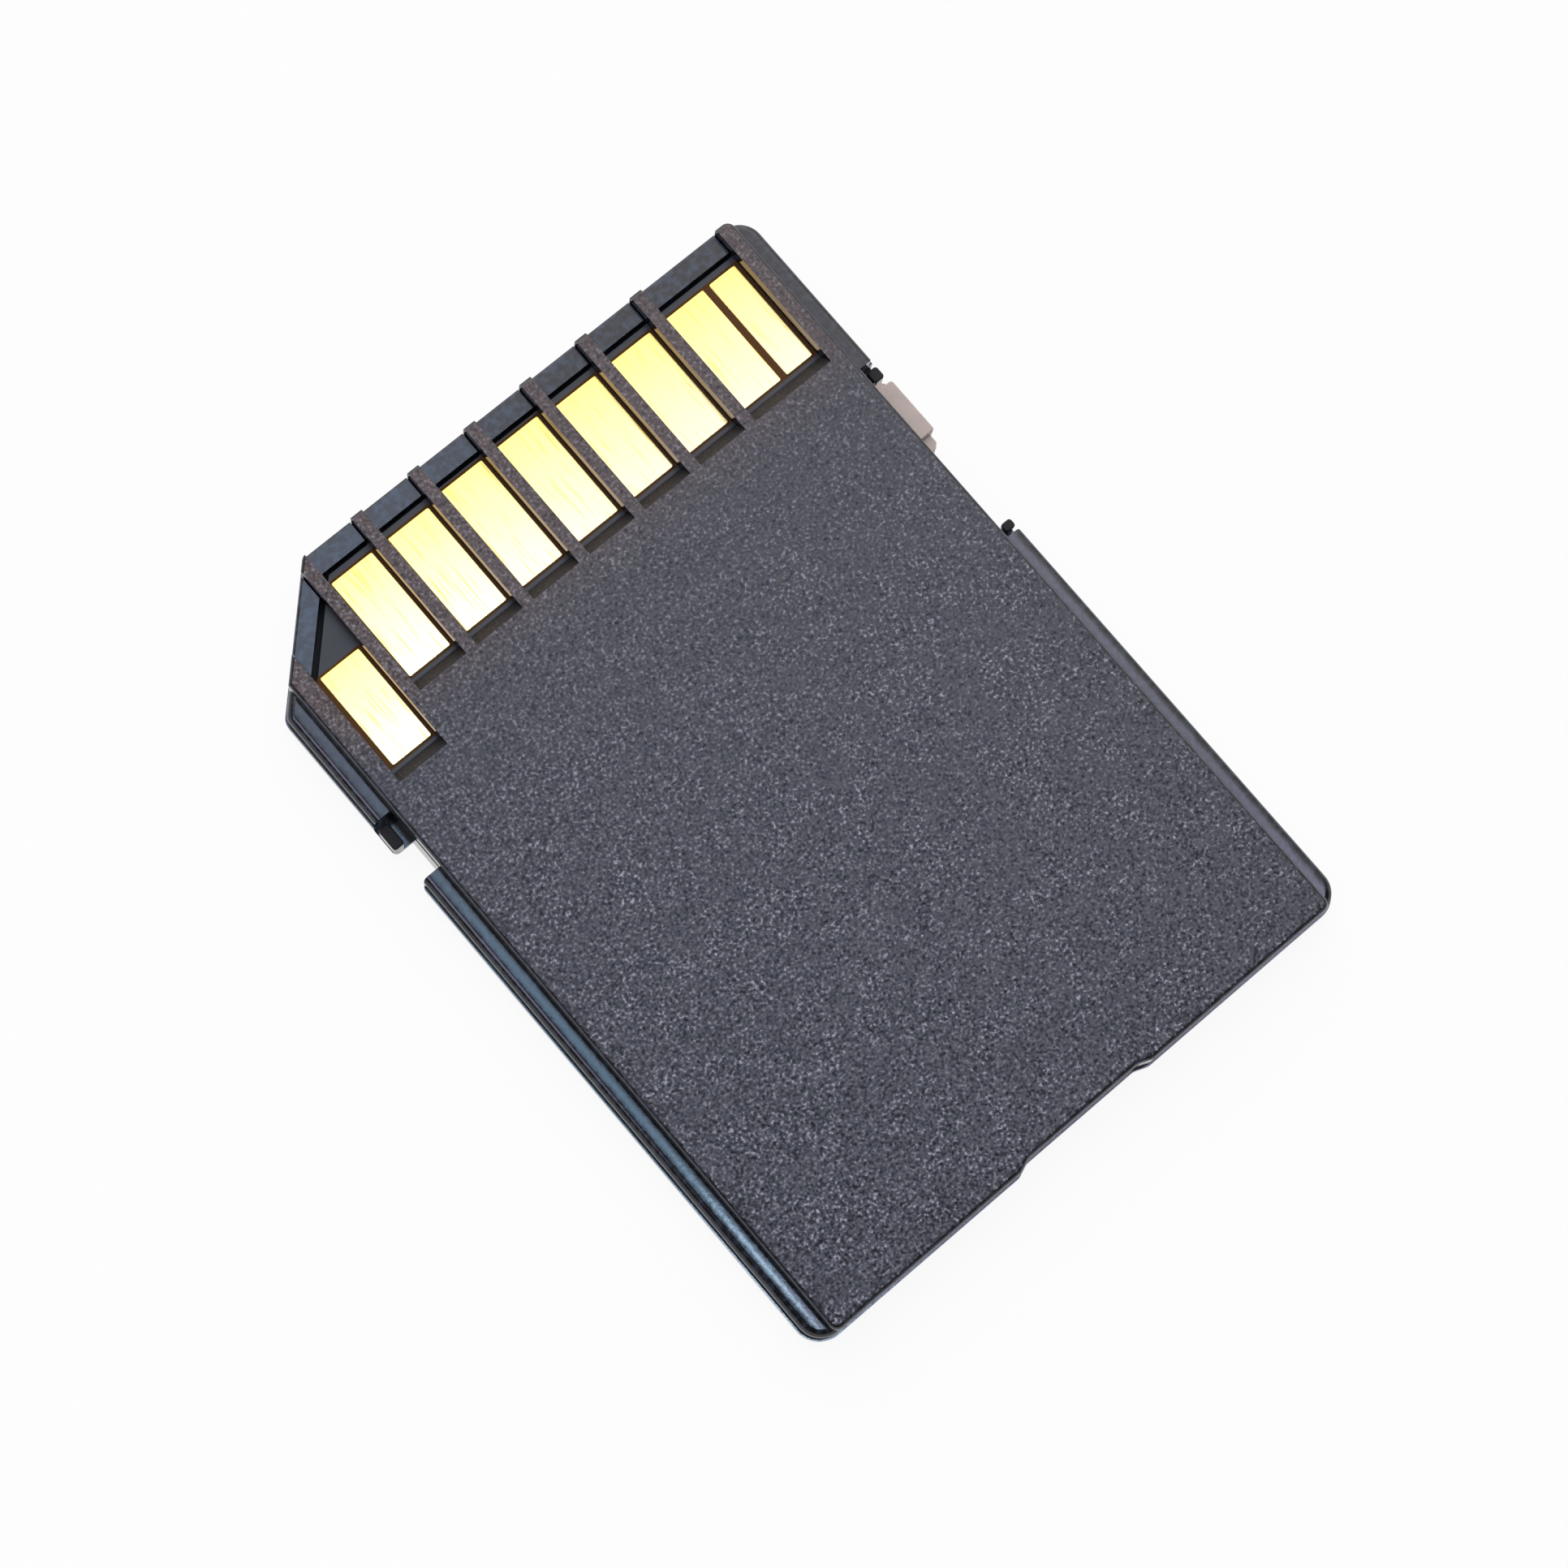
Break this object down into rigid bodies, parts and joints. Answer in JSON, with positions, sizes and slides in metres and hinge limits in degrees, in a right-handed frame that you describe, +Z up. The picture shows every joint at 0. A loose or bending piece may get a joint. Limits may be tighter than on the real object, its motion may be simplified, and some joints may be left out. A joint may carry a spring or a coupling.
{
  "type": "memory card",
  "caption": "Flat full-size memory card with a cut corner, gold contact pads in ribbed windows on its back, side notches and a sliding write-protect tab.",
  "frame": {"origin": "middle of the label face, which the card lies on", "axes": "+X across the card towards the edge with the slider, +Y along the card towards the contacts, +Z up, out of the contact side"},
  "size_m": [0.024, 0.032, 0.0021],
  "materials": {
    "textured_plastic": "spark-textured charcoal plastic on the face, smooth on the rails",
    "smooth_plastic": "smooth charcoal plastic with a soft sheen",
    "slider_plastic": "smooth beige-grey plastic",
    "board": "black solder mask",
    "gold_plating": "polished gold plating with fine lengthwise wipe marks",
    "moulding_compound": "dull black moulding compound",
    "capacitor_ceramic": "tan ceramic with tinned ends",
    "resistor_ceramic": "black glazed ceramic with tinned ends"
  },
  "bodies": {
    "card": {"back_cover": "textured_plastic", "front_cover": "smooth_plastic", "circuit_board": "board", "contact_1": "gold_plating", "contact_2": "gold_plating", "contact_3": "gold_plating", "contact_4": "gold_plating", "contact_5": "gold_plating", "contact_6": "gold_plating", "contact_7": "gold_plating", "contact_8": "gold_plating", "contact_9": "gold_plating", "memory_chip": "moulding_compound", "controller_chip": "moulding_compound", "capacitor_1": "capacitor_ceramic", "capacitor_2": "capacitor_ceramic", "capacitor_3": "capacitor_ceramic", "resistor_1": "resistor_ceramic", "resistor_2": "resistor_ceramic", "resistor_3": "resistor_ceramic"},
    "slider": {"lock_slider": "slider_plastic"}
  },
  "joints": [
    {"name": "lock_slide", "type": "slide", "parent": "card", "child": "slider", "axis": [0, -1, 0], "range_m": [0, 0.0034]}
  ]
}
